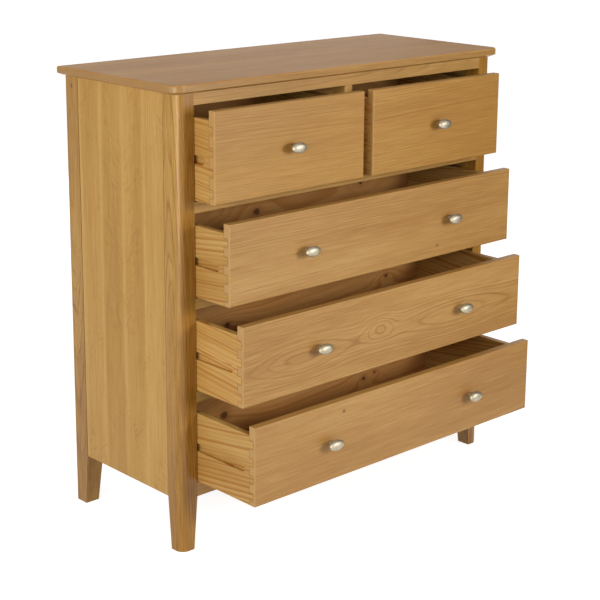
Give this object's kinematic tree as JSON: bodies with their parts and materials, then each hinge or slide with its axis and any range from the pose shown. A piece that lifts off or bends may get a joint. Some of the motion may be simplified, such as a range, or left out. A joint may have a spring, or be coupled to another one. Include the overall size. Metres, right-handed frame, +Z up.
{
  "type": "chest of drawers",
  "caption": "Oak chest of drawers on tapered legs: small drawers over wide ones, dovetailed boxes sliding on wooden side runners, oval metal knobs.",
  "frame": {"origin": "on the floor, under the middle of the outline that the chest takes up with its drawers drawn out as at rest", "axes": "+Z up, +X to the right along the front, +Y towards the back; the drawers open towards -Y"},
  "size_m": [0.99, 0.601, 1],
  "materials": {
    "oak": "satin oiled",
    "oak_veneer": "satin oiled",
    "pine": "bare",
    "plywood": "bare",
    "nickel": "satin",
    "steel": "zinc plated"
  },
  "bodies": {
    "carcass": {"back_left_leg": "oak", "back_panel": "plywood", "back_panel_screws": "steel", "back_right_leg": "oak", "bottom_back_rail": "pine", "bottom_front_rail": "oak", "centre_partition": "pine", "centre_post": "oak", "centre_runners": "pine", "front_left_leg": "oak", "front_right_leg": "oak", "left_runners": "pine", "left_side_panel": "oak_veneer", "lower_drawer_rail": "oak", "middle_drawer_rail": "oak", "right_runners": "pine", "right_side_panel": "oak_veneer", "runner_screws": "steel", "top_back_rail": "pine", "top_front_rail": "oak", "top_panel": "oak", "top_screws": "steel", "upper_back_rail": "pine", "upper_drawer_rail": "oak"},
    "top_left_drawer": {"top_left_drawer_back": "pine", "top_left_drawer_bottom": "plywood", "top_left_drawer_front": "oak", "top_left_drawer_knob": "nickel", "top_left_drawer_knob_screws": "steel", "top_left_drawer_left_side": "pine", "top_left_drawer_right_side": "pine"},
    "top_right_drawer": {"top_right_drawer_back": "pine", "top_right_drawer_bottom": "plywood", "top_right_drawer_front": "oak", "top_right_drawer_knob": "nickel", "top_right_drawer_knob_screws": "steel", "top_right_drawer_left_side": "pine", "top_right_drawer_right_side": "pine"},
    "second_drawer": {"second_drawer_back": "pine", "second_drawer_bottom": "plywood", "second_drawer_front": "oak", "second_drawer_knob_screws": "steel", "second_drawer_knobs": "nickel", "second_drawer_left_side": "pine", "second_drawer_right_side": "pine"},
    "third_drawer": {"third_drawer_back": "pine", "third_drawer_bottom": "plywood", "third_drawer_front": "oak", "third_drawer_knob_screws": "steel", "third_drawer_knobs": "nickel", "third_drawer_left_side": "pine", "third_drawer_right_side": "pine"},
    "bottom_drawer": {"bottom_drawer_back": "pine", "bottom_drawer_bottom": "plywood", "bottom_drawer_front": "oak", "bottom_drawer_knob_screws": "steel", "bottom_drawer_knobs": "nickel", "bottom_drawer_left_side": "pine", "bottom_drawer_right_side": "pine"}
  },
  "joints": [
    {"name": "top_left_drawer_slide", "type": "slide", "parent": "carcass", "child": "top_left_drawer", "axis": [0, -1, 0], "range_m": [-0.063, 0.187]},
    {"name": "top_right_drawer_slide", "type": "slide", "parent": "carcass", "child": "top_right_drawer", "axis": [0, -1, 0], "range_m": [-0.065, 0.185]},
    {"name": "second_drawer_slide", "type": "slide", "parent": "carcass", "child": "second_drawer", "axis": [0, -1, 0], "range_m": [-0.107, 0.143]},
    {"name": "third_drawer_slide", "type": "slide", "parent": "carcass", "child": "third_drawer", "axis": [0, -1, 0], "range_m": [-0.148, 0.102]},
    {"name": "bottom_drawer_slide", "type": "slide", "parent": "carcass", "child": "bottom_drawer", "axis": [0, -1, 0], "range_m": [-0.184, 0.066]}
  ]
}
